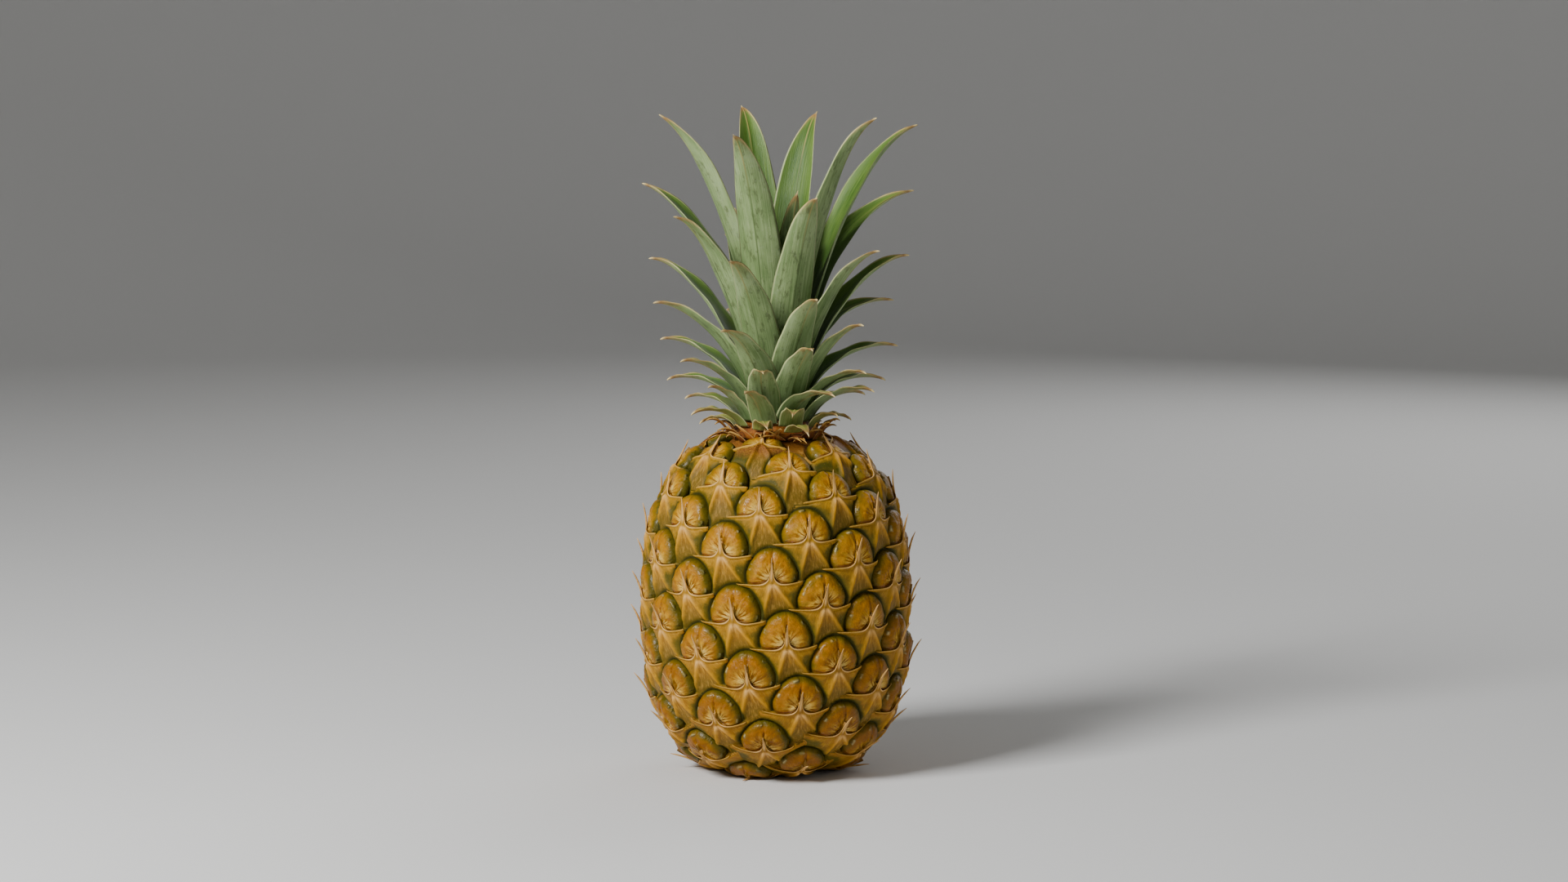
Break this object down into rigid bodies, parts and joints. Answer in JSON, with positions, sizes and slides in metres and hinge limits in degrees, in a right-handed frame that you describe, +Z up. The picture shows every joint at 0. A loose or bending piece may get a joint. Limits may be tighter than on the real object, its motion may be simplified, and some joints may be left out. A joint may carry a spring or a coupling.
{
  "type": "pineapple",
  "caption": "Ripe whole pineapple standing upright: barrel-shaped fruit with spirals of raised eyes, and a spiky crown of leaves.",
  "frame": {"origin": "middle of the flat spot at the base of the fruit, on the cut end of the stalk", "axes": "+Z up along the fruit's axis to the crown; -Y is the side that faces the viewer; +X to the viewer's right"},
  "size_m": [0.1292, 0.1263, 0.308],
  "materials": {
    "skin": "waxy golden rind with olive grooves and cream bract edges",
    "stalk": "dry cut plant fibre",
    "stem": "dry brown scales over a fibrous stem",
    "leaf": "stiff leaf with a pale waxy bloom outside and smooth green inside"
  },
  "bodies": {
    "root": {"fruit": "skin", "cut_stalk": "stalk", "crown_stem": "stem", "crown_leaf_01": "leaf", "crown_leaf_02": "leaf", "crown_leaf_03": "leaf", "crown_leaf_04": "leaf", "crown_leaf_05": "leaf", "crown_leaf_06": "leaf", "crown_leaf_07": "leaf", "crown_leaf_08": "leaf", "crown_leaf_09": "leaf", "crown_leaf_10": "leaf", "crown_leaf_11": "leaf", "crown_leaf_12": "leaf", "crown_leaf_13": "leaf", "crown_leaf_14": "leaf", "crown_leaf_15": "leaf", "crown_leaf_16": "leaf", "crown_leaf_17": "leaf", "crown_leaf_18": "leaf", "crown_leaf_19": "leaf", "crown_leaf_20": "leaf", "crown_leaf_21": "leaf", "crown_leaf_22": "leaf", "crown_leaf_23": "leaf", "crown_leaf_24": "leaf", "crown_leaf_25": "leaf", "crown_leaf_26": "leaf", "crown_leaf_27": "leaf", "crown_leaf_28": "leaf", "crown_leaf_29": "leaf", "crown_leaf_30": "leaf", "crown_leaf_31": "leaf", "crown_leaf_32": "leaf", "crown_leaf_33": "leaf", "crown_leaf_34": "leaf", "crown_leaf_35": "leaf", "crown_leaf_36": "leaf", "crown_leaf_37": "leaf", "crown_leaf_38": "leaf", "crown_leaf_39": "leaf", "crown_leaf_40": "leaf", "crown_leaf_41": "leaf", "crown_leaf_42": "leaf", "crown_leaf_43": "leaf", "crown_leaf_44": "leaf", "crown_leaf_45": "leaf", "crown_leaf_46": "leaf", "crown_leaf_47": "leaf", "crown_leaf_48": "leaf", "crown_leaf_49": "leaf", "crown_leaf_50": "leaf", "crown_leaf_51": "leaf", "crown_leaf_52": "leaf", "crown_leaf_53": "leaf", "crown_leaf_54": "leaf"}
  },
  "joints": []
}
